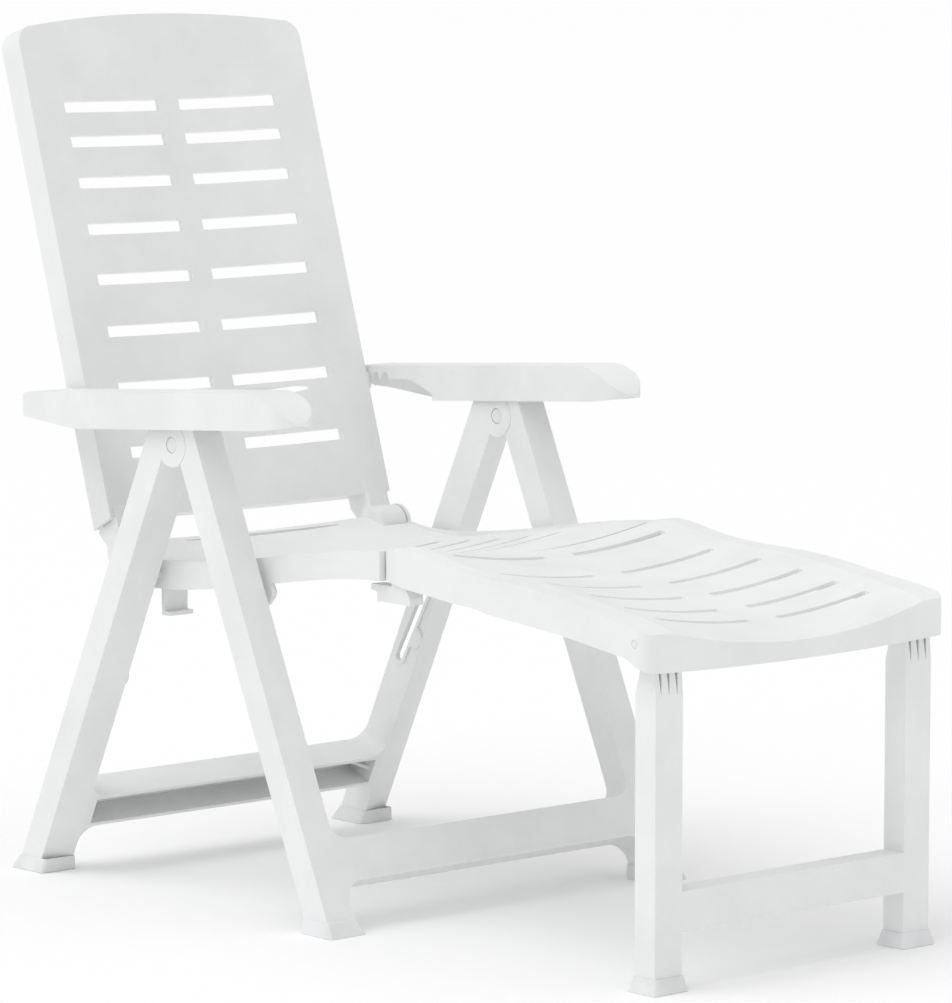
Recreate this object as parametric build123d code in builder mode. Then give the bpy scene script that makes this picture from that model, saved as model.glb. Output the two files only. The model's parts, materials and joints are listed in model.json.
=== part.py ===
"""Folding garden lounger moulded in white resin, with a slatted seat, a reclining back and a footrest.

The lounger stands on the floor at z = 0 and faces -Y; +X is the sitter's left. Side profiles are drawn
on vertical planes as (distance behind the leg pivot, height above the floor).
"""
from build123d import *
import math
import os

os.makedirs("parts", exist_ok=True)

# ---------------------------------------------------------------- driving dimensions (millimetres)
PIVOT_Y = 188.1            # the leg pivot's place along Y, so that the origin lies under the middle
PIVOT = (0.0, 564.0)       # scissor pivot of the leg frames
ARM_PIVOT_Z = 603.0        # armrest pivot, on the axis of the front legs
SEAT_PIVOT_Z = 390.0       # seat pivot, on the axis of the front legs
HINGE = (176.0, 412.0)     # backrest hinge at the rear of the seat
RACK_PIN = (250.0, 588.0)  # backrest side pin that rests in the armrest rack

LEG_IN = 243.0             # inner and outer faces of all four legs
LEG_OUT = 286.0
FRONT_FOOT_Y = -278.0      # where the front leg axis meets the floor
FRONT_SLOPE = 0.4416       # run per rise of the front legs
FRONT_DEPTH = 39.3         # section across the leg axis, seen from the side
REAR_FOOT_Y = 293.5
REAR_SLOPE = -0.4735
REAR_DEPTH = 46.1
REAR_BEVEL = 9.0           # how far the rear legs' front faces slant back towards the outside

WALL = 4.5                 # moulded wall of frames and shells
PIN_R = 6.0
RUN = 0.06                 # radial running clearance of pins
SLOT_PLAY = 0.4            # radial clearance of the seat's slide pins in their slots
LUG_R = 27.0               # rounded ears at the scissor pivot
TONGUE_R = 22.0
TONGUE_IN = 253.0          # front leg tongue between the two ears of the rear leg
TONGUE_OUT = 276.0
SIDE_GAP = 0.4

SEAT_HALF = 230.0          # outer half width of seat and backrest
DISH_HALF = 201.0          # half width of the hollow across seat and footrest
HINGE_R = 24.5
KNUCKLE_IN = 190.0
KNUCKLE_OUT = 222.6
SLOT_IN = 20.0             # slots run from this half width ...
SLOT_OUT = 171.0           # ... to this one, in two columns

BACK_TILT = 17.07          # backrest behind the vertical, degrees
BACK_SET = 5.2             # front plane behind the hinge
BACK_TOP = 697.0
BACK_DEPTH = 38.0
BACK_PLATE = 8.0
BACK_ROWS = (575.5, 530.0, 476.0, 415.5, 350.0, 282.5, 209.0, 126.0)

ARM_IN = 237.0
ARM_OUT = 300.0
ARM_SKIRT = 4.5

PANEL_REAR = -325.0
PANEL_FRONT = -798.0
PANEL_REAR_HALF = 222.0
PANEL_FRONT_HALF = 243.5
STAY_Y = -770.0            # middle of the footrest legs
STAY_DEPTH = 33.0
STAY_IN = 180.0
STAY_OUT = 222.0
STAY_PIN = (-774.0, 400.0)
STAY_PIN_R = 5.0
SHOE_H = 18.0

SIDES = {"left": 1, "right": -1}


# ---------------------------------------------------------------- helpers
def side_plane(x):
    """Vertical plane across the width at x; local x runs rearward from the leg pivot, local y up."""
    return Plane(origin=(x, PIVOT_Y, 0), x_dir=(0, 1, 0), z_dir=(1, 0, 0))


def span(side, inner, outer):
    """Smaller X of the span between two half widths on one side."""
    return inner if side > 0 else -outer


def leg_plane(foot_y, slope):
    """Plane of a leg frame, with local y up along the legs and its normal towards the front."""
    angle = math.atan(slope)
    normal = (0, -math.cos(angle), math.sin(angle))
    return Plane(origin=(0, PIVOT_Y + foot_y, 0), x_dir=(1, 0, 0), z_dir=normal)


def front_axis(z):
    """Distance of the front leg axis behind the leg pivot at height z."""
    return FRONT_FOOT_Y + FRONT_SLOPE * z


def back_point(v, depth):
    """Side coordinates of a backrest point, v up from the hinge and depth behind the front plane."""
    tilt = math.radians(BACK_TILT)
    behind = BACK_SET + depth
    y = HINGE[0] + v * math.sin(tilt) + behind * math.cos(tilt)
    z = HINGE[1] + v * math.cos(tilt) - behind * math.sin(tilt)
    return (y, z)


def under_dish(stations, half, lower):
    """Solid under a dished top. Each station is (y, height of the flat rims, depth of the dish)."""
    with BuildPart() as block:
        for y, height, dish in stations:
            level = height - lower
            with BuildSketch(Plane(origin=(0, PIVOT_Y + y, 0), x_dir=(1, 0, 0), z_dir=(0, -1, 0))):
                with BuildLine():
                    ThreePointArc((-DISH_HALF, level), (0, level - dish), (DISH_HALF, level))
                    Line((DISH_HALF, level), (half, level))
                    Line((half, level), (half, 300))
                    Line((half, 300), (-half, 300))
                    Line((-half, 300), (-half, level))
                    Line((-half, level), (-DISH_HALF, level))
                make_face()
        loft()
    return block.part


ARM_PIVOT = (front_axis(ARM_PIVOT_Z), ARM_PIVOT_Z)
SEAT_PIVOT = (front_axis(SEAT_PIVOT_Z), SEAT_PIVOT_Z)

# The seat links two equal lengths, leg pivot to seat pivot and seat pivot to slide pin. The slide pin
# therefore runs in a straight slot aimed at the leg pivot, and the seat turns exactly twice as far.
LINK = math.dist(PIVOT, SEAT_PIVOT)
FOLD_MAX = 40.0
SLOT_ANGLE = 29.7
LINK_ANGLE = math.degrees(math.atan2(-SEAT_PIVOT[0], PIVOT[1] - SEAT_PIVOT[1])) + SLOT_ANGLE


def slide_pin_at(fold):
    """Place of the slide pin on the rear leg, at a fold angle in degrees."""
    reach = 2 * LINK * math.cos(math.radians(LINK_ANGLE - fold))
    angle = math.radians(SLOT_ANGLE)
    return (PIVOT[0] + reach * math.sin(angle), PIVOT[1] - reach * math.cos(angle))


SLIDE_PIN = slide_pin_at(0)
SLIDE_END = slide_pin_at(FOLD_MAX)
SLIDE_RUN = math.dist(SLIDE_PIN, SLIDE_END)
SLIDE_MID = ((SLIDE_PIN[0] + SLIDE_END[0]) / 2, (SLIDE_PIN[1] + SLIDE_END[1]) / 2)
SLIDE_TURN = SLOT_ANGLE - 90


# ---------------------------------------------------------------- front leg frame
FRONT = leg_plane(FRONT_FOOT_Y, FRONT_SLOPE)
FRONT_TOP = ARM_PIVOT_Z / math.cos(math.atan(FRONT_SLOPE))
LEG_MID = (LEG_IN + LEG_OUT) / 2
LEG_W = LEG_OUT - LEG_IN
FRONT_BAR = (55.8, 108.3)      # lower and upper edges of the crossbars, measured up the legs
REAR_BAR = (73.0, 117.5)
BAR_BLEND = 24.0
POCKET_W = LEG_W - 2 * WALL

with BuildPart() as front_frame:
    with BuildSketch(FRONT):
        with Locations((LEG_MID, FRONT_TOP / 2 - 20), (-LEG_MID, FRONT_TOP / 2 - 20)):
            Rectangle(LEG_W, FRONT_TOP + 40)
        with Locations((0, sum(FRONT_BAR) / 2)):
            Rectangle(2 * LEG_IN + 2, FRONT_BAR[1] - FRONT_BAR[0])
        corners = vertices().filter_by(lambda v: abs(abs(v.X) - LEG_IN) < 0.1 and 20 < v.Y < 200)
        fillet(corners, BAR_BLEND)
    extrude(amount=FRONT_DEPTH / 2, both=True)
    # open channels at the back of the legs and of the crossbar, with ribs left between them
    with BuildSketch(FRONT.offset(-FRONT_DEPTH / 2 - 1)):
        for low, high in ((45, 128), (132, 258), (262, 396), (456, 575)):
            with Locations((LEG_MID, (low + high) / 2), (-LEG_MID, (low + high) / 2)):
                Rectangle(POCKET_W, high - low)
        with Locations((0, sum(FRONT_BAR) / 2)):
            with GridLocations(92, 1, 5, 1):
                Rectangle(88, FRONT_BAR[1] - FRONT_BAR[0] - 2 * WALL)
    extrude(amount=FRONT_DEPTH + 1 - WALL, mode=Mode.SUBTRACT)
    # lip along the lower edge of the crossbar's front face
    with BuildSketch(FRONT.offset(FRONT_DEPTH / 2)):
        with Locations((0, FRONT_BAR[0] + 2.5)):
            Rectangle(2 * (LEG_IN - BAR_BLEND), 5)
    extrude(amount=1.6)
    split(bisect_by=Plane.XY.offset(4), keep=Keep.TOP)
    for side in SIDES.values():
        # rounded head that carries the armrest
        with BuildSketch(side_plane(span(side, LEG_IN, LEG_OUT))):
            with Locations(ARM_PIVOT):
                Circle(FRONT_DEPTH / 2)
        extrude(amount=LEG_W)
        # tongue reaching back between the rear leg's ears
        with BuildSketch(side_plane(span(side, TONGUE_IN, TONGUE_OUT))):
            with Locations(PIVOT):
                Circle(TONGUE_R)
            with Locations((front_axis(PIVOT[1] - 12), PIVOT[1] - 12)):
                Circle(FRONT_DEPTH / 2 - 1)
            make_hull()
        extrude(amount=TONGUE_OUT - TONGUE_IN)
        # round recesses that the ears turn in
        for inner, outer in ((LEG_IN - 1, TONGUE_IN), (TONGUE_OUT, LEG_OUT + 1)):
            with BuildSketch(side_plane(span(side, inner, outer))):
                with Locations(PIVOT):
                    Circle(LUG_R + 0.6)
            extrude(amount=outer - inner, mode=Mode.SUBTRACT)
    # pin bores: scissor pivot and seat pivot are fits, the armrest pivot runs
    with BuildSketch(side_plane(-LEG_OUT - 1)):
        with Locations(PIVOT):
            Circle(PIN_R)
        with Locations(ARM_PIVOT):
            Circle(PIN_R + RUN)
    extrude(amount=2 * LEG_OUT + 2, mode=Mode.SUBTRACT)
    with BuildSketch(side_plane(-LEG_IN - 22)):
        with Locations(SEAT_PIVOT):
            Circle(PIN_R)
    extrude(amount=2 * LEG_IN + 44, mode=Mode.SUBTRACT)

# ---------------------------------------------------------------- rear leg frame
REAR = leg_plane(REAR_FOOT_Y, REAR_SLOPE)
REAR_ACROSS = Plane(origin=REAR.origin, x_dir=(1, 0, 0), z_dir=REAR.y_dir)
REAR_ANGLE = math.atan(REAR_SLOPE)
REAR_PIVOT_V = -REAR_FOOT_Y * math.sin(REAR_ANGLE) + PIVOT[1] * math.cos(REAR_ANGLE)
REAR_TOP = REAR_PIVOT_V + 15
FORK_LOW = REAR_PIVOT_V - 30
EAR_IN = TONGUE_IN - SIDE_GAP
EAR_OUT = TONGUE_OUT + SIDE_GAP
RIM = 4.6
RIM_PROUD = 2.5
SLOT_LOBE = (160.0, 262.0)

with BuildPart() as rear_frame:
    with BuildSketch(REAR):
        with Locations((LEG_MID, REAR_TOP / 2 - 20), (-LEG_MID, REAR_TOP / 2 - 20)):
            Rectangle(LEG_W, REAR_TOP + 40)
        with Locations((0, sum(REAR_BAR) / 2)):
            Rectangle(2 * LEG_IN + 2, REAR_BAR[1] - REAR_BAR[0])
        corners = vertices().filter_by(lambda v: abs(abs(v.X) - LEG_IN) < 0.1 and 20 < v.Y < 200)
        fillet(corners, BAR_BLEND)
    extrude(amount=REAR_DEPTH / 2, both=True)
    # the front faces of the legs slant back towards the outside
    with BuildSketch(REAR_ACROSS):
        for side in SIDES.values():
            with BuildLine():
                Polyline(
                    (side * LEG_IN, -REAR_DEPTH / 2),
                    (side * (LEG_OUT + 1), -REAR_DEPTH / 2 - 0.01),
                    (side * (LEG_OUT + 1), -REAR_DEPTH / 2 + REAR_BEVEL),
                    close=True,
                )
            make_face()
    extrude(amount=REAR_TOP + 1, both=True, mode=Mode.SUBTRACT)
    # crossbar channel, open to the front, with a sloping gusset at each end
    with BuildSketch(REAR.offset(REAR_DEPTH / 2 + 1)):
        with Locations((0, sum(REAR_BAR) / 2)):
            Rectangle(2 * LEG_IN - 24, REAR_BAR[1] - REAR_BAR[0] - 2 * WALL)
    extrude(amount=-(REAR_DEPTH + 1 - WALL), mode=Mode.SUBTRACT)
    for side in SIDES.values():
        with BuildSketch(REAR_ACROSS.offset(REAR_BAR[0] + 20)):
            with BuildLine():
                Polyline(
                    (side * 232, REAR_DEPTH / 2 - 1),
                    (side * 196, REAR_DEPTH / 2 - 1),
                    (side * 232, -REAR_DEPTH / 2 + 6),
                    close=True,
                )
            make_face()
        extrude(amount=WALL)
    # open channels at the back of the legs
    with BuildSketch(REAR.offset(-REAR_DEPTH / 2 - 1)):
        for low, high in ((45, 128), (132, 590)):
            with Locations((LEG_MID, (low + high) / 2), (-LEG_MID, (low + high) / 2)):
                Rectangle(POCKET_W, high - low)
    extrude(amount=REAR_DEPTH + 1 - WALL - REAR_BEVEL, mode=Mode.SUBTRACT)
    split(bisect_by=Plane.XY.offset(4), keep=Keep.TOP)
    # fork between the ears
    with BuildSketch(REAR.offset(-REAR_DEPTH)):
        with Locations((LEG_MID, FORK_LOW + 50), (-LEG_MID, FORK_LOW + 50)):
            Rectangle(EAR_OUT - EAR_IN, 100)
    extrude(amount=2 * REAR_DEPTH, mode=Mode.SUBTRACT)
    for side in SIDES.values():
        for inner, outer in ((LEG_IN, EAR_IN), (EAR_OUT, LEG_OUT)):
            with BuildSketch(side_plane(span(side, inner, outer))):
                with Locations(PIVOT):
                    Circle(LUG_R)
            extrude(amount=outer - inner)
            # counterbore for the pin's head
            face_in = LEG_IN - 1 if inner == LEG_IN else LEG_OUT - 3.4
            with BuildSketch(side_plane(span(side, face_in, face_in + 4.4))):
                with Locations(PIVOT):
                    Circle(10)
            extrude(amount=4.4, mode=Mode.SUBTRACT)
        # raised rim round the slide slot on the inner face
        with BuildSketch(side_plane(span(side, LEG_IN - RIM_PROUD, LEG_IN + WALL))):
            with Locations(SLIDE_MID):
                SlotCenterToCenter(SLIDE_RUN, 2 * (PIN_R + SLOT_PLAY + RIM), rotation=SLIDE_TURN)
            with Locations(SLOT_LOBE):
                Circle(15)
        extrude(amount=RIM_PROUD + WALL)
        with BuildSketch(side_plane(span(side, LEG_IN - RIM_PROUD - 1, LEG_IN + WALL + 6))):
            with Locations(SLIDE_MID):
                SlotCenterToCenter(SLIDE_RUN, 2 * (PIN_R + SLOT_PLAY), rotation=SLIDE_TURN)
        extrude(amount=RIM_PROUD + WALL + 7, mode=Mode.SUBTRACT)
    with BuildSketch(side_plane(-LEG_OUT - 1)):
        with Locations(PIVOT):
            Circle(PIN_R + RUN)
    extrude(amount=2 * LEG_OUT + 2, mode=Mode.SUBTRACT)

# ---------------------------------------------------------------- seat
SEAT_FRONT = -322.0
SEAT_TOP = (
    (185, 424),
    (150, 416),
    (110, 411),
    (60, 411.5),
    (11, 416),
    (-81, 428),
    (-181, 444),
    (-272, 456),
    (SEAT_FRONT, 460),
)
SEAT_LOW = ((-322, 425), (-240, 419), (-125, 402), (0, 383), (110, 374), (160, 378))
SEAT_STATIONS = (
    (188, 423, 4),
    (110, 407, 6),
    (60, 406, 9),
    (11, 411, 12),
    (-81, 424, 16),
    (-181, 441, 19),
    (-272, 455, 20),
    (SEAT_FRONT, 459.5, 20),
)
SEAT_UNDER = ((200, 424, 4),) + SEAT_STATIONS[1:-1] + ((SEAT_FRONT - 10, 461, 20),)
SEAT_PLATE = 6.0
SEAT_ROWS = (25.0, -31.0, -88.0, -144.0, -200.0)
CHEEK = 6.6
SEAT_EDGE = 5.0

with BuildPart() as seat:
    # dished plate
    add(under_dish(SEAT_STATIONS, SEAT_HALF - 0.5, 0))
    add(under_dish(SEAT_UNDER, SEAT_HALF + 5, SEAT_PLATE), mode=Mode.SUBTRACT)
    # slots in two columns
    with BuildSketch(Plane.XY.offset(380)):
        for row in SEAT_ROWS:
            for side in SIDES.values():
                with Locations((side * (SLOT_IN + SLOT_OUT) / 2, PIVOT_Y + row)):
                    RectangleRounded(SLOT_OUT - SLOT_IN, 12, 2)
    extrude(amount=100, mode=Mode.SUBTRACT)
    # front and rear skirts
    for y, top_z, dish, low_z in ((SEAT_FRONT, 458.5, 20, 425), (176, 419, 4, 390)):
        with BuildSketch(Plane(origin=(0, PIVOT_Y + y, 0), x_dir=(1, 0, 0), z_dir=(0, -1, 0))):
            with BuildLine():
                ThreePointArc((-DISH_HALF, top_z), (0, top_z - dish), (DISH_HALF, top_z))
                Line((DISH_HALF, top_z), (SEAT_HALF - 1, top_z))
                Line((SEAT_HALF - 1, top_z), (SEAT_HALF - 1, low_z))
                ThreePointArc((SEAT_HALF - 1, low_z), (0, low_z - dish / 2), (1 - SEAT_HALF, low_z))
                Line((1 - SEAT_HALF, low_z), (1 - SEAT_HALF, top_z))
                Line((1 - SEAT_HALF, top_z), (-DISH_HALF, top_z))
            make_face()
        extrude(amount=-5)
    # gaps for the backrest knuckles
    for side in SIDES.values():
        with BuildSketch(side_plane(span(side, KNUCKLE_IN - SIDE_GAP, KNUCKLE_OUT + SIDE_GAP))):
            with Locations(HINGE):
                Circle(HINGE_R + 1.2)
            with Locations((HINGE[0] + 20, HINGE[1] + 20)):
                Rectangle(66, 70)
        extrude(amount=KNUCKLE_OUT - KNUCKLE_IN + 2 * SIDE_GAP, mode=Mode.SUBTRACT)
    for side in SIDES.values():
        # side flange with its arched lower edge, hinge lug and pivot lobe
        with BuildSketch(side_plane(span(side, SEAT_HALF - SEAT_EDGE, SEAT_HALF))):
            with BuildLine():
                Spline(*SEAT_TOP)
                Line(SEAT_TOP[-1], SEAT_LOW[0])
                Spline(*SEAT_LOW)
                Line(SEAT_LOW[-1], SEAT_TOP[0])
            make_face()
            with Locations(HINGE):
                Circle(HINGE_R + 0.5)
            with Locations(SEAT_PIVOT):
                Circle(17)
        extrude(amount=SEAT_EDGE)
        # inner cheek of the hinge, a short wall under the plate
        with BuildSketch(side_plane(span(side, KNUCKLE_IN - SIDE_GAP - CHEEK, KNUCKLE_IN - SIDE_GAP))):
            with Locations(HINGE):
                Circle(HINGE_R + 0.5)
            with BuildLine():
                Polyline((86, 402.5), (166, 402.5), (176, 388), (106, 385), close=True)
            make_face()
        extrude(amount=CHEEK)
        # small hook that hangs under the side, behind the front leg
        with BuildSketch(side_plane(span(side, SEAT_HALF - 45, SEAT_HALF - 8))):
            with BuildLine():
                Polyline((97, 404), (97, 345), (86, 345), (86, 340), (102, 340), (102, 404), close=True)
            make_face()
        extrude(amount=37)
        # stiffening boss round the seat pivot
        with BuildSketch(side_plane(span(side, SEAT_HALF - 12, SEAT_HALF))):
            with Locations(SEAT_PIVOT, SLIDE_PIN):
                Circle(12)
        extrude(amount=12)
    with BuildSketch(side_plane(-SEAT_HALF - 1)):
        with Locations(SEAT_PIVOT, HINGE):
            Circle(PIN_R + RUN)
        with Locations(SLIDE_PIN):
            Circle(PIN_R)
    extrude(amount=2 * SEAT_HALF + 2, mode=Mode.SUBTRACT)

# ---------------------------------------------------------------- backrest
TILT = math.radians(BACK_TILT)
BACK_ORIGIN = back_point(0, 0)
BACK = Plane(
    origin=(0, PIVOT_Y + BACK_ORIGIN[0], BACK_ORIGIN[1]),
    x_dir=(1, 0, 0),
    z_dir=(0, -math.cos(TILT), math.sin(TILT)),
)
BACK_SHOULDER = 678.0
BACK_OPEN = 44.0               # lower edge of the bottom cross member
RAIL_IN = 190.0
RAIL_LOW = 34.0
BACK_SLOT_H = 15.5
BACK_DISH = 12.0               # hollow of the front face at its middle
BACK_SLOT_IN = 16.0
BACK_SLOT_OUT = 174.0


def back_outline(inset):
    """Points and arcs of the backrest's outline, moved in by inset."""
    half = SEAT_HALF - inset
    top = BACK_TOP - inset
    shoulder = BACK_SHOULDER - inset
    Line((-half, RAIL_LOW), (-half, shoulder - 22))
    RadiusArc((-half, shoulder - 22), (-half + 26, shoulder + 4), 26)
    ThreePointArc((-half + 26, shoulder + 4), (0, top), (half - 26, shoulder + 4))
    RadiusArc((half - 26, shoulder + 4), (half, shoulder - 22), 26)
    Line((half, shoulder - 22), (half, RAIL_LOW))
    Line((half, RAIL_LOW), (-half, RAIL_LOW))


# space behind the backrest's plate, open at the back
BACK_ACROSS = Plane(origin=BACK.origin, x_dir=(1, 0, 0), z_dir=BACK.y_dir)
BACK_FAR = 2 * BACK_DEPTH + 5

with BuildPart() as back_hollow:
    with BuildSketch(BACK):
        with BuildLine():
            back_outline(5)
        make_face()
        with Locations((0, (RAIL_LOW + BACK_OPEN) / 2)):
            Rectangle(2 * RAIL_IN + 10, BACK_OPEN - RAIL_LOW + 10, mode=Mode.SUBTRACT)
        with Locations((SEAT_HALF - 20, 0), (20 - SEAT_HALF, 0)):
            Rectangle(40, 2 * RAIL_LOW + 10, mode=Mode.SUBTRACT)
    extrude(amount=-2 * BACK_DEPTH)
    with BuildSketch(BACK_ACROSS.offset(-20)):
        with BuildLine():
            ThreePointArc(
                (1 - SEAT_HALF, BACK_PLATE),
                (0, BACK_PLATE + BACK_DISH),
                (SEAT_HALF - 1, BACK_PLATE),
            )
            Line((SEAT_HALF - 1, BACK_PLATE), (SEAT_HALF - 1, BACK_FAR))
            Line((SEAT_HALF - 1, BACK_FAR), (1 - SEAT_HALF, BACK_FAR))
            Line((1 - SEAT_HALF, BACK_FAR), (1 - SEAT_HALF, BACK_PLATE))
        make_face()
    extrude(amount=BACK_TOP + 60, mode=Mode.INTERSECT)

BACK_END = (back_point(46, -8), back_point(20, -8), back_point(-10, 60), back_point(32, 60))

with BuildPart() as backrest:
    with BuildSketch(BACK):
        with BuildLine():
            back_outline(0)
        make_face()
        with Locations((0, (RAIL_LOW + BACK_OPEN) / 2 - 1)):
            Rectangle(2 * RAIL_IN, BACK_OPEN - RAIL_LOW + 2, mode=Mode.SUBTRACT)
    extrude(amount=-BACK_DEPTH)
    # the front face is hollowed by a shallow arc and the plate is left even behind it
    with BuildSketch(BACK_ACROSS.offset(-20)):
        with BuildLine():
            ThreePointArc((2 - SEAT_HALF, 0), (0, BACK_DISH), (SEAT_HALF - 2, 0))
            Line((SEAT_HALF - 2, 0), (SEAT_HALF - 2, -20))
            Line((SEAT_HALF - 2, -20), (2 - SEAT_HALF, -20))
            Line((2 - SEAT_HALF, -20), (2 - SEAT_HALF, 0))
        make_face()
    extrude(amount=BACK_TOP + 60, mode=Mode.SUBTRACT)
    add(back_hollow.part, mode=Mode.SUBTRACT)
    # slots in two columns
    with BuildSketch(BACK):
        for row in BACK_ROWS:
            for side in SIDES.values():
                with Locations((side * (BACK_SLOT_IN + BACK_SLOT_OUT) / 2, row)):
                    RectangleRounded(BACK_SLOT_OUT - BACK_SLOT_IN, BACK_SLOT_H, 2)
    extrude(amount=-BACK_DEPTH, mode=Mode.SUBTRACT)
    for side in SIDES.values():
        # rail end and hinge knuckle
        with BuildSketch(side_plane(span(side, KNUCKLE_IN, KNUCKLE_OUT))):
            with Locations(HINGE):
                Circle(HINGE_R)
            with BuildLine():
                Polyline(
                    back_point(0, -6),
                    back_point(60, 0),
                    back_point(60, BACK_DEPTH),
                    back_point(30, BACK_DEPTH),
                    back_point(0, 18),
                    close=True,
                )
            make_face()
        extrude(amount=KNUCKLE_OUT - KNUCKLE_IN)
        # boss that holds the side pin
        with BuildSketch(side_plane(span(side, SEAT_HALF - 16, SEAT_HALF + 3))):
            with Locations(RACK_PIN):
                Circle(13)
        extrude(amount=19)
    # chamfer at the lower end of the flanges, above the seat's lugs
    with BuildSketch(side_plane(-SEAT_HALF - 5)):
        with BuildLine():
            Polyline(*BACK_END, close=True)
        make_face()
    with BuildSketch(side_plane(KNUCKLE_OUT)):
        with BuildLine():
            Polyline(*BACK_END, close=True)
        make_face()
    extrude(amount=SEAT_HALF + 5 - KNUCKLE_OUT, mode=Mode.SUBTRACT)
    with BuildSketch(side_plane(-SEAT_HALF - 1)):
        with Locations(HINGE):
            Circle(PIN_R + RUN)
    extrude(amount=2 * SEAT_HALF + 2, mode=Mode.SUBTRACT)
    with BuildSketch(side_plane(-SEAT_HALF - 4)):
        with Locations(RACK_PIN):
            Circle(PIN_R)
    extrude(amount=2 * SEAT_HALF + 8, mode=Mode.SUBTRACT)

# ---------------------------------------------------------------- armrests
ARM_SLOPE = -0.0687
ARM_TAIL = 300.0
ARM_NOSE = -225.0
NOTCHES = (-12, -6, 0, 6)      # backrest angles with a notch, in degrees behind the drawn one
RACK_CLEAR = 0.9
ARM_ROUND = 29.0
ARM_BLIND = 2.2                # the armrest pivot stops this far inside the outer faces
RACK_DEPTH = 8.5


def arm_top(y):
    """Height of the armrest's top face."""
    return 629.0 + ARM_SLOPE * y


def arm_low(y):
    """Height of the armrest's lower edge."""
    return 583.5 + ARM_SLOPE * y


def arm_profile(inset):
    """Side outline of an armrest, with a drooping nose and a rounded tail."""
    nose = ARM_NOSE + inset
    tail = ARM_TAIL - inset
    low = -40 * inset / ARM_SKIRT if inset else 0
    Line((nose + 75, arm_top(nose + 75) - inset), (tail - 40, arm_top(tail - 40) - inset))
    ThreePointArc(
        (tail - 40, arm_top(tail - 40) - inset),
        (tail - 9, arm_top(tail) - 7 - inset),
        (tail, 592 - inset / 2),
    )
    Line((tail, 592 - inset / 2), (tail - 10, 580 + low))
    Line((tail - 10, 580 + low), (178, arm_low(178) + low))
    Line((178, arm_low(178) + low), (-186, arm_low(-186) + low))
    Line((-186, arm_low(-186) + low), (nose + 6, 601 + low))
    Line((nose + 6, 601 + low), (nose, 607))
    ThreePointArc(
        (nose, 607),
        (nose + 22, 627 - inset),
        (nose + 75, arm_top(nose + 75) - inset),
    )


def pin_from_arm_pivot(recline):
    """Distance of the rack pin from the armrest pivot at a recline angle in degrees."""
    reach = math.dist(HINGE, RACK_PIN)
    angle = math.atan2(RACK_PIN[1] - HINGE[1], RACK_PIN[0] - HINGE[0]) - math.radians(recline)
    y = HINGE[0] + reach * math.cos(angle)
    z = HINGE[1] + reach * math.sin(angle)
    return math.dist(ARM_PIVOT, (y, z))


RACK_ANGLE = math.atan2(RACK_PIN[1] - ARM_PIVOT[1], RACK_PIN[0] - ARM_PIVOT[0])


def rack_point(reach, rise):
    """Point along the line from armrest pivot to rack pin, and above it by rise."""
    y = ARM_PIVOT[0] + reach * math.cos(RACK_ANGLE) - rise * math.sin(RACK_ANGLE)
    z = ARM_PIVOT[1] + reach * math.sin(RACK_ANGLE) + rise * math.cos(RACK_ANGLE)
    return (y, z)


def arm_block(side, inset):
    """Full body of an armrest, moved in by inset all round, with rounded ends in plan."""
    with BuildPart() as block:
        with BuildSketch(side_plane(span(side, ARM_IN + inset, ARM_OUT - inset))):
            with BuildLine():
                arm_profile(inset)
            make_face()
        extrude(amount=ARM_OUT - ARM_IN - 2 * inset)
        with BuildSketch(Plane.XY.offset(500)):
            with Locations((side * (ARM_IN + ARM_OUT) / 2, PIVOT_Y + (ARM_NOSE + ARM_TAIL) / 2)):
                RectangleRounded(
                    ARM_OUT - ARM_IN - 2 * inset,
                    ARM_TAIL - ARM_NOSE - 2 * inset,
                    ARM_ROUND - inset,
                )
        extrude(amount=200, mode=Mode.INTERSECT)
    return block.part


def build_armrest(name, side):
    """One armrest: a channel open at the bottom, with a toothed rack inside its rear half."""
    with BuildPart() as armrest:
        add(arm_block(side, 0))
        # hollow from below
        add(arm_block(side, ARM_SKIRT), mode=Mode.SUBTRACT)
        # the inner skirt is cut away at the rear and its edge is notched for the backrest's pin
        with BuildSketch(side_plane(span(side, ARM_IN - 1, ARM_IN + 8))):
            with BuildLine():
                Polyline(
                    (118, 560),
                    (118, 584),
                    rack_point(172, PIN_R + RACK_CLEAR),
                    rack_point(298, PIN_R + RACK_CLEAR),
                    rack_point(298, -40),
                    close=True,
                )
            make_face()
            for recline in NOTCHES:
                reach = pin_from_arm_pivot(recline)
                with BuildLine():
                    Polyline(
                        rack_point(reach - 9, PIN_R + RACK_CLEAR - 1),
                        rack_point(reach - 5, PIN_R + RACK_CLEAR + RACK_DEPTH),
                        rack_point(reach + 6, PIN_R + RACK_CLEAR + RACK_DEPTH),
                        rack_point(reach + 7.5, PIN_R + RACK_CLEAR - 1),
                        close=True,
                    )
                make_face()
        extrude(amount=9, mode=Mode.SUBTRACT)
        # boss inside the outer skirt and the blind pivot bore
        with BuildSketch(side_plane(span(side, LEG_OUT + 1.5, ARM_OUT - 3))):
            with Locations(ARM_PIVOT):
                Circle(11)
        extrude(amount=ARM_OUT - LEG_OUT - 4.5)
        with BuildSketch(side_plane(span(side, ARM_IN + ARM_BLIND - 0.2, ARM_OUT - ARM_BLIND + 0.2))):
            with Locations(ARM_PIVOT):
                Circle(PIN_R + RUN)
        extrude(amount=ARM_OUT - ARM_IN - 2 * ARM_BLIND + 0.4, mode=Mode.SUBTRACT)
    armrest.part.label = name
    export_step(armrest.part, f"parts/{name}.step")


for label, side in SIDES.items():
    build_armrest(f"armrest_{label}", side)


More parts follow.
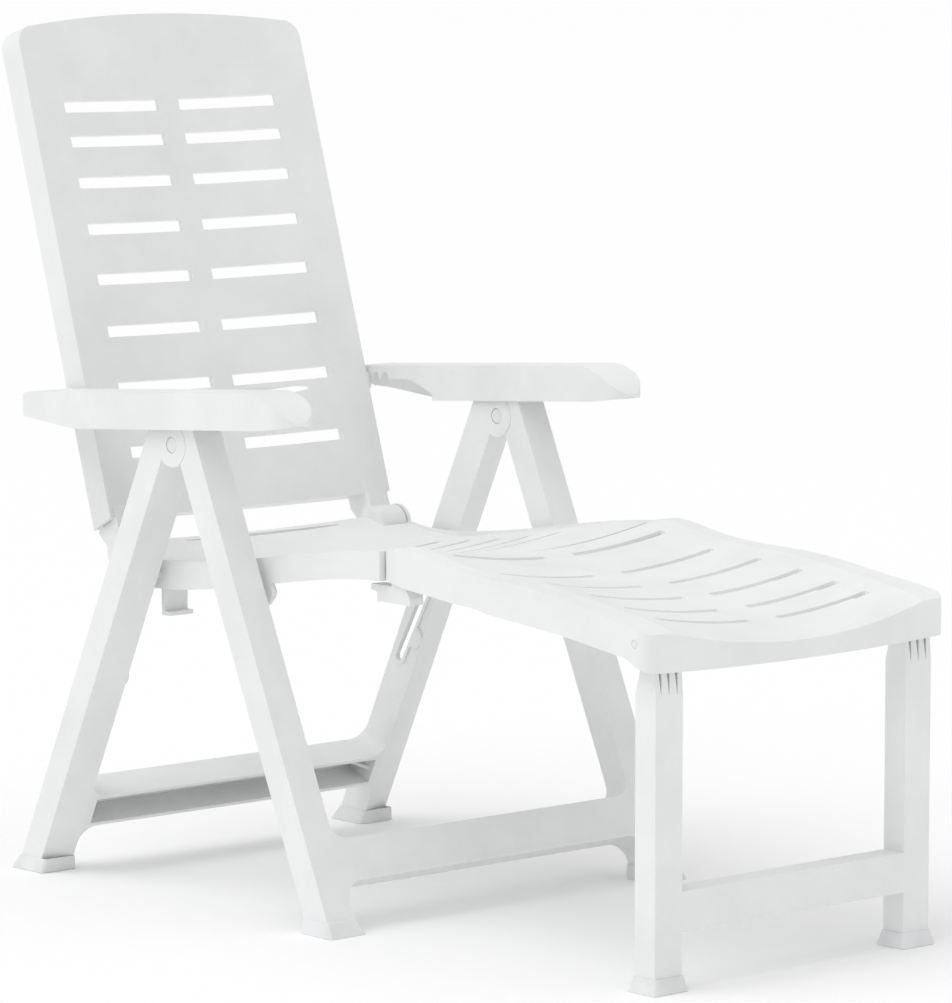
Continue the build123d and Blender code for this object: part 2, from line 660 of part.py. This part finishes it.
# ---------------------------------------------------------------- footrest panel
PANEL_STATIONS = (
    (-325, 459.5, 21),
    (-425, 455.5, 22),
    (-530, 447, 23),
    (-650, 436, 23),
    (-740, 423, 23),
    (-774, 416.5, 23),
    (-800, 406, 22),
)
PANEL_WALL = 4.0
PANEL_CORNER = 16.0
PANEL_ROWS = (-386.0, -472.0, -553.0, -623.0, -682.0, -732.0)
PANEL_SLOT_IN = 22.0
SKIRT_LOW = (
    (-325, 425),
    (-354, 419),
    (-452, 411),
    (-494, 409),
    (-513, 405),
    (-642, 396),
    (-760, 382),
    (-800, 362),
)


def panel_outline(inset):
    """Plan outline of the footrest: widening forward, with a bowed front edge."""
    rear = PIVOT_Y + PANEL_REAR - inset
    side_y = PIVOT_Y - 775
    front = PIVOT_Y + PANEL_FRONT + inset
    near = PANEL_REAR_HALF - inset
    far = PANEL_FRONT_HALF - inset
    Line((-near, rear), (near, rear))
    corner = PANEL_CORNER - inset
    Line((near, rear), (far, side_y))
    RadiusArc((far, side_y), (far - corner, side_y - corner), corner)
    ThreePointArc((far - corner, side_y - corner), (0, front), (corner - far, side_y - corner))
    RadiusArc((corner - far, side_y - corner), (-far, side_y), corner)
    Line((-far, side_y), (-near, rear))


def panel_block(inset):
    """Full body of the footrest under its dished top, moved in by inset at the top and sides."""
    with BuildPart() as block:
        with BuildSketch(Plane.XY.offset(330)):
            with BuildLine():
                panel_outline(inset)
            make_face()
        extrude(amount=150)
        add(under_dish(PANEL_STATIONS, PANEL_FRONT_HALF + 2, inset), mode=Mode.INTERSECT)
    return block.part


with BuildPart() as footrest_panel:
    add(panel_block(0))
    # lower edge of the skirt
    with BuildSketch(side_plane(-260)):
        with BuildLine():
            Polyline((-320, 425), *SKIRT_LOW, (-830, 355), (-830, 320), (-320, 320), close=True)
        make_face()
    extrude(amount=520, mode=Mode.SUBTRACT)
    # hollow underneath
    add(panel_block(PANEL_WALL), mode=Mode.SUBTRACT)
    # slots in two columns
    with BuildSketch(Plane.XY.offset(370)):
        for row in PANEL_ROWS:
            for side in SIDES.values():
                with Locations((side * (PANEL_SLOT_IN + SLOT_OUT) / 2, PIVOT_Y + row)):
                    RectangleRounded(SLOT_OUT - PANEL_SLOT_IN, 10, 2)
    extrude(amount=110, mode=Mode.SUBTRACT)
    for side in SIDES.values():
        # boss in the skirt for the leg pivot
        with BuildSketch(side_plane(span(side, STAY_OUT + 1, PANEL_FRONT_HALF - 3))):
            with Locations(STAY_PIN):
                Circle(7.5)
        extrude(amount=PANEL_FRONT_HALF - STAY_OUT - 4)
        with BuildSketch(side_plane(span(side, STAY_OUT - 14, PANEL_FRONT_HALF + 2))):
            with Locations(STAY_PIN):
                Circle(STAY_PIN_R)
        extrude(amount=PANEL_FRONT_HALF - STAY_OUT + 16, mode=Mode.SUBTRACT)

# ---------------------------------------------------------------- footrest leg frame
STAY_TAPER = 340.0
STAY_BAR = (67.0, 114.0)
STAY_HEAD_R = 7.0
STAY_HEAD = ((-786.5, STAY_TAPER), (-781, 401), (-767, 401), (-765, 382), (-753.5, STAY_TAPER))
STAY = Plane(origin=(0, PIVOT_Y + STAY_Y, 0), x_dir=(1, 0, 0), z_dir=(0, -1, 0))

with BuildPart() as footrest_frame:
    with BuildSketch(STAY):
        middle = (STAY_IN + STAY_OUT) / 2
        with Locations((middle, (STAY_PIN[1] + 8) / 2), (-middle, (STAY_PIN[1] + 8) / 2)):
            Rectangle(STAY_OUT - STAY_IN, STAY_PIN[1])
        with Locations((0, sum(STAY_BAR) / 2)):
            Rectangle(2 * STAY_IN + 2, STAY_BAR[1] - STAY_BAR[0])
        corners = vertices().filter_by(lambda v: abs(abs(v.X) - STAY_IN) < 0.1 and 20 < v.Z < 200)
        fillet(corners, 16)
    extrude(amount=STAY_DEPTH / 2, both=True)
    # open channels at the back
    with BuildSketch(STAY.offset(-STAY_DEPTH / 2 - 1)):
        for low, high in ((30, 118), (122, 225), (229, 330)):
            with Locations((middle, (low + high) / 2), (-middle, (low + high) / 2)):
                Rectangle(STAY_OUT - STAY_IN - 2 * WALL, high - low)
        with Locations((0, sum(STAY_BAR) / 2)):
            with GridLocations(88, 1, 4, 1):
                Rectangle(84, STAY_BAR[1] - STAY_BAR[0] - 2 * WALL)
    extrude(amount=STAY_DEPTH + 1 - WALL, mode=Mode.SUBTRACT)
    # tapered head with a rounded end, inside the footrest's skirt
    with BuildSketch(side_plane(-STAY_OUT - 1)):
        with BuildLine():
            Polyline((-800, STAY_TAPER), (-800, 420), (-740, 420), (-740, STAY_TAPER), close=True)
        make_face()
        with BuildLine():
            Polyline(*STAY_HEAD, close=True)
        make_face(mode=Mode.SUBTRACT)
        with Locations(STAY_PIN):
            Circle(STAY_HEAD_R, mode=Mode.SUBTRACT)
    extrude(amount=2 * STAY_OUT + 2, mode=Mode.SUBTRACT)
    for side in SIDES.values():
        # the head is cut low inboard, under the dished panel, and has tapered pockets between its fins
        with BuildSketch(side_plane(span(side, STAY_IN - 1, STAY_OUT - 12))):
            with BuildLine():
                Polyline((-800, 388), (-800, 420), (-740, 420), (-740, 388), close=True)
            make_face()
        extrude(amount=STAY_OUT - STAY_IN - 11, mode=Mode.SUBTRACT)
        with BuildSketch(STAY.offset(STAY_DEPTH / 2 + 1)):
            for pocket in (STAY_IN + 8.5, STAY_IN + 21, STAY_OUT - 8.5):
                with BuildLine():
                    Polyline(
                        (side * pocket - 4.5, 392),
                        (side * pocket + 4.5, 392),
                        (side * pocket, 338),
                        close=True,
                    )
                make_face()
        extrude(amount=-14, mode=Mode.SUBTRACT)
    with BuildSketch(side_plane(-STAY_OUT - 1)):
        with Locations(STAY_PIN):
            Circle(STAY_PIN_R + RUN)
    extrude(amount=2 * STAY_OUT + 2, mode=Mode.SUBTRACT)

# ---------------------------------------------------------------- pins
PIN_HEAD = 2.6
PIN_SETS = {
    "leg_pivot_pin": (PIVOT, LEG_IN + 0.4, LEG_OUT - 0.4, PIN_R, 9.5),
    "seat_pivot_pin": (SEAT_PIVOT, SEAT_HALF - 10, LEG_IN + 21.5, PIN_R, 0),
    "seat_slide_pin": (SLIDE_PIN, SEAT_HALF - 11, LEG_IN + 8, PIN_R, 0),
    "backrest_hinge_pin": (HINGE, KNUCKLE_IN - 6, SEAT_HALF, PIN_R, 0),
    "backrest_rack_pin": (RACK_PIN, SEAT_HALF - 15, LEG_IN - 0.5, PIN_R, 0),
    "armrest_pivot_pin": (ARM_PIVOT, ARM_IN + ARM_BLIND, ARM_OUT - ARM_BLIND, PIN_R, 0),
    "footrest_leg_pin": (STAY_PIN, STAY_OUT - 13, PANEL_FRONT_HALF - 0.4, STAY_PIN_R, 0),
}


def build_pins(name, place, inner, outer, radius, head_r):
    """Round pins at one place on both sides, with a flat head at each end where head_r is given."""
    for label, side in SIDES.items():
        with BuildPart() as pin:
            with BuildSketch(side_plane(span(side, inner, outer))):
                with Locations(place):
                    Circle(radius)
            extrude(amount=outer - inner)
            if head_r:
                for start in (inner, outer - PIN_HEAD):
                    with BuildSketch(side_plane(span(side, start, start + PIN_HEAD))):
                        with Locations(place):
                            Circle(head_r)
                    extrude(amount=PIN_HEAD)
            chamfer(pin.faces().filter_by(Axis.X).sort_by(Axis.X)[0].edges(), 0.8)
            chamfer(pin.faces().filter_by(Axis.X).sort_by(Axis.X)[-1].edges(), 0.8)
        pin.part.label = f"{name}_{label}"
        export_step(pin.part, f"parts/{name}_{label}.step")


for name, values in PIN_SETS.items():
    build_pins(name, *values)

# ---------------------------------------------------------------- foot caps
FEET = {
    "front_foot_cap": (LEG_MID, FRONT_FOOT_Y, LEG_W, FRONT_DEPTH * math.hypot(1, FRONT_SLOPE), FRONT_SLOPE),
    "rear_foot_cap": (LEG_MID, REAR_FOOT_Y, LEG_W, REAR_DEPTH * math.hypot(1, REAR_SLOPE), REAR_SLOPE),
    "footrest_foot_cap": ((STAY_IN + STAY_OUT) / 2, STAY_Y, STAY_OUT - STAY_IN, STAY_DEPTH, 0.0),
}
CAP_FLARE = 7.0


def build_caps(name, across, foot_y, width, depth, slope):
    """Flared shoes under one pair of legs; each has a socket that the leg stands in."""
    for label, side in SIDES.items():
        with BuildPart() as cap:
            for height, flare in ((0, CAP_FLARE), (SHOE_H, 2.5)):
                with BuildSketch(Plane.XY.offset(height)):
                    with Locations((side * across, PIVOT_Y + foot_y + slope * height)):
                        RectangleRounded(width + 2 * flare, depth + 2 * flare, 5)
            loft()
            chamfer(cap.faces().sort_by(Axis.Z)[0].edges(), 1.2)
            along = Plane(
                origin=(side * across, PIVOT_Y + foot_y + slope * 4, 4),
                x_dir=(1, 0, 0),
                z_dir=(0, math.sin(math.atan(slope)), math.cos(math.atan(slope))),
            )
            with BuildSketch(Plane.XY.offset(4)):
                with Locations((side * across, PIVOT_Y + foot_y + slope * 4)):
                    Rectangle(width, depth)
            extrude(amount=60, dir=along.z_dir, mode=Mode.SUBTRACT)
        cap.part.label = f"{name}_{label}"
        export_step(cap.part, f"parts/{name}_{label}.step")


for name, values in FEET.items():
    build_caps(name, *values)

# ---------------------------------------------------------------- hooks that join the footrest to the seat
HOOK = (
    (-303, 398),
    (-362, 398),
    (-362, 406),
    (-350, 424),
    (-329, 424),
    (-329, 418),
    (-292, 418),
    (-292, 411),
    (-303, 409),
)

for label, side in SIDES.items():
    with BuildPart() as hook:
        with BuildSketch(side_plane(span(side, 196, 217))):
            with BuildLine():
                Polyline(*HOOK, close=True)
            make_face()
        extrude(amount=21)
    hook.part.label = f"footrest_hook_{label}"
    export_step(hook.part, f"parts/footrest_hook_{label}.step")

# ---------------------------------------------------------------- export of the large mouldings
LARGE = {
    "front_leg_frame": front_frame,
    "rear_leg_frame": rear_frame,
    "seat": seat,
    "backrest": backrest,
    "footrest_panel": footrest_panel,
    "footrest_leg_frame": footrest_frame,
}
for label, piece in LARGE.items():
    piece.part.label = label
    export_step(piece.part, f"parts/{label}.step")
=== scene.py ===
# %% [markdown]
# # A folding garden lounger in white polypropylene
# The lounger is moulded in white plastic: two crossed leg frames, a seat, a slatted backrest, two
# armrests and a footrest with its own legs. The CAD model gives every piece its true place and size, so
# it is loaded first and nothing in it is ever moved. The lesson gives each piece the satin skin of a real
# moulding, then sets it on a pale floor under soft light.

# %% Load the CAD frame and note its size
import json
import math

import bmesh
import bpy
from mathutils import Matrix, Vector

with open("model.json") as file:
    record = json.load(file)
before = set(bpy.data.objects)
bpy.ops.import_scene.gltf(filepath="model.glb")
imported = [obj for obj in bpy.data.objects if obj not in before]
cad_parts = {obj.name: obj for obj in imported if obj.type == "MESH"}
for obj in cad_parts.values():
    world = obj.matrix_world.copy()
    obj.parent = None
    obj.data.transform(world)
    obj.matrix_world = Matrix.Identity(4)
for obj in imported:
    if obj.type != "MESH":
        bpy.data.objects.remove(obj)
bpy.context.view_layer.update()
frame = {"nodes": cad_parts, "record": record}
nodes = frame["nodes"]

# %% [markdown]
# ## Colours
# Colours are picked as sRGB hex values, because that is how they are usually written down. Blender's
# shaders work in linear light, so one function turns each hex value into linear numbers.

# %% Hex to linear colour
def linear(hex_colour):
    channels = [int(hex_colour[i : i + 2], 16) / 255 for i in (1, 3, 5)]
    return tuple(c / 12.92 if c <= 0.04045 else ((c + 0.055) / 1.055) ** 2.4 for c in channels) + (1.0,)


print("white resin", [round(c, 3) for c in linear("#F1F3F4")])

# %% [markdown]
# ## A helper that adds a node
# Every material below is a small graph. This one function adds a node, sets its properties and sockets,
# and links what feeds it, so that each material reads as a short list.

# %% Add one node
def add_node(tree, kind, settings=None, inputs=None, links=None):
    node = tree.nodes.new(kind)
    for name, value in (settings or {}).items():
        setattr(node, name, value)
    for name, value in (inputs or {}).items():
        node.inputs[name].default_value = value
    for name, source in (links or {}).items():
        tree.links.new(source, node.inputs[name])
    return node


# %% [markdown]
# ## Moulded polypropylene
# The big pieces are injection-moulded polypropylene, coloured white all through. The mould was sparked to
# a fine satin grain, so the skin has tiny soft pits about half a millimetre apart, a slow waviness where
# the plastic shrank behind the ribs, and faint clouds where sun and rain have dulled it. Its index of
# refraction is about 1.49. Three noise patterns at three sizes make the grain, the sink marks and the
# clouds; all of them follow Object coordinates, so they stay on the piece when it moves.

# %% Material for every moulded part
def moulded_plastic(name, light, shade, roughness, grain_mm, grain_depth):
    material = bpy.data.materials.new(name)
    material.use_nodes = True
    tree = material.node_tree
    tree.nodes.clear()
    place = add_node(tree, "ShaderNodeTexCoord").outputs["Object"]
    # grain of the mould skin, one dimple every grain_mm
    grain = add_node(
        tree,
        "ShaderNodeTexNoise",
        inputs={"Scale": 1000 / grain_mm / 2, "Detail": 3.0, "Roughness": 0.55},
        links={"Vector": place},
    ).outputs["Fac"]
    # slow sink marks about 60 mm across
    sink = add_node(
        tree,
        "ShaderNodeTexNoise",
        inputs={"Scale": 1000 / 60, "Detail": 1.0},
        links={"Vector": place},
    ).outputs["Fac"]
    # cloudy dirt and sun bleaching about 120 mm across
    cloud = add_node(
        tree,
        "ShaderNodeTexNoise",
        inputs={"Scale": 1000 / 120, "Detail": 5.0, "Roughness": 0.6},
        links={"Vector": place},
    ).outputs["Fac"]
    tint = add_node(
        tree,
        "ShaderNodeMapRange",
        inputs={"From Min": 0.3, "From Max": 0.6, "To Min": 0.0, "To Max": 1.0},
        links={"Value": cloud},
    ).outputs["Result"]
    colour = add_node(tree, "ShaderNodeMix", settings={"data_type": "RGBA"}, links={0: tint})
    colour.inputs[6].default_value = linear(shade)
    colour.inputs[7].default_value = linear(light)
    gloss = add_node(
        tree,
        "ShaderNodeMapRange",
        inputs={"From Min": 0.3, "From Max": 0.7, "To Min": roughness - 0.06, "To Max": roughness + 0.06},
        links={"Value": cloud},
    ).outputs["Result"]
    wave = add_node(
        tree,
        "ShaderNodeBump",
        inputs={"Strength": 0.35, "Distance": 0.0006},
        links={"Height": sink},
    ).outputs["Normal"]
    skin = add_node(
        tree,
        "ShaderNodeBump",
        inputs={"Strength": 0.5, "Distance": grain_depth},
        links={"Height": grain, "Normal": wave},
    ).outputs["Normal"]
    shader = add_node(
        tree,
        "ShaderNodeBsdfPrincipled",
        inputs={
            "IOR": 1.49,
            "Specular IOR Level": 0.45,
        },
        links={"Base Color": colour.outputs[2], "Roughness": gloss, "Normal": skin},
    )
    add_node(tree, "ShaderNodeOutputMaterial", links={"Surface": shader.outputs["BSDF"]})
    print("material", name)
    return material


RESIN = moulded_plastic("satin_white_polypropylene", "#F1F2F2", "#EAEBEB", 0.42, 0.9, 0.00012)
PIN = moulded_plastic("smooth_white_nylon", "#EDEFF0", "#E2E4E6", 0.30, 1.6, 0.00005)
SHOE = moulded_plastic("soft_white_foot_plastic", "#EDEFF0", "#DCDDDD", 0.52, 1.2, 0.00020)

# %% [markdown]
# ## Dress the carried-over pieces
# Every piece keeps its CAD mesh as it is, sharp edges included, and gets only a material. The record
# names a material slot for each piece, so one table leads from slot to finish. A real moulding has softly
# rounded edges. A Bevel modifier would round them only after the vertices along each edge were merged.

# %% Finishes for the CAD pieces
FINISH = {"white_resin": RESIN, "white_pin": PIN, "foot_rubber": SHOE}
slot_of = {entry["node"]: entry["material_slot"] for entry in frame["record"]["subparts"]}

for name, piece in nodes.items():
    piece.data.materials.clear()
    piece.data.materials.append(FINISH[slot_of[name]])
print("dressed", len(nodes), "pieces")

# %% [markdown]
# ## Floor, light and camera
# The stage is a plain pale floor, one broad soft light high on the left, a softer one overhead and
# a pale sky. The camera stands well back with a long lens, three quarters on.

# %% Studio
def stage_floor():
    mesh = bpy.data.meshes.new("studio_floor")
    work = bmesh.new()
    bmesh.ops.create_grid(work, x_segments=1, y_segments=1, size=150.0)
    work.to_mesh(mesh)
    work.free()
    floor = bpy.data.objects.new("studio_floor", mesh)
    bpy.context.collection.objects.link(floor)
    paint = bpy.data.materials.new("pale_floor_paint")
    paint.use_nodes = True
    tree = paint.node_tree
    speckle = add_node(
        tree,
        "ShaderNodeTexNoise",
        inputs={"Scale": 40.0, "Detail": 2.0},
        links={"Vector": add_node(tree, "ShaderNodeTexCoord").outputs["Object"]},
    )
    ramp = add_node(tree, "ShaderNodeMix", settings={"data_type": "RGBA"}, links={0: speckle.outputs["Fac"]})
    ramp.inputs[6].default_value = linear("#FDFDFD")
    ramp.inputs[7].default_value = linear("#FFFFFF")
    shader = tree.nodes["Principled BSDF"]
    shader.inputs["Roughness"].default_value = 0.9
    tree.links.new(ramp.outputs[2], shader.inputs["Base Color"])
    mesh.materials.append(paint)


def broad_sun(name, direction, strength, spread, tint):
    data = bpy.data.lights.new(name, "SUN")
    data.energy = strength
    data.angle = math.radians(spread)
    data.color = linear(tint)[:3]
    light = bpy.data.objects.new(name, data)
    light.location = Vector(direction) * 4
    light.rotation_euler = (-Vector(direction)).to_track_quat("-Z", "Y").to_euler()
    bpy.context.collection.objects.link(light)
    print("light", name, strength)


stage_floor()
broad_sun("key_left_high", (-0.52, 0.12, 0.85), 0.90, 50, "#FFFFFF")
broad_sun("top_fill", (0.05, -0.05, 1.0), 0.30, 60, "#FFFFFF")
world = bpy.data.worlds.new("pale_studio")
world.use_nodes = True
world.node_tree.nodes["Background"].inputs["Color"].default_value = linear("#FFFFFF")
world.node_tree.nodes["Background"].inputs["Strength"].default_value = 0.68
bpy.context.scene.world = world
bpy.context.scene.view_settings.view_transform = "Standard"

# %% Camera
LENS_MM = 190.2
YAW_DEGREES = 41.60
PITCH_DEGREES = -6.71
camera_data = bpy.data.cameras.new("long_lens")
camera_data.sensor_width = 36.0
camera_data.lens = LENS_MM
camera_data.shift_x = 0.0009
camera_data.clip_end = 200.0
camera = bpy.data.objects.new("long_lens", camera_data)
yaw, pitch = math.radians(YAW_DEGREES), math.radians(PITCH_DEGREES)
look = Vector((math.sin(yaw) * math.cos(pitch), math.cos(yaw) * math.cos(pitch), math.sin(pitch)))
camera.location = (-4.2532, -4.8353, 1.2471)
camera.rotation_euler = look.to_track_quat("-Z", "Y").to_euler()
bpy.context.collection.objects.link(camera)
bpy.context.scene.camera = camera
print("camera", [round(v, 3) for v in camera.location])
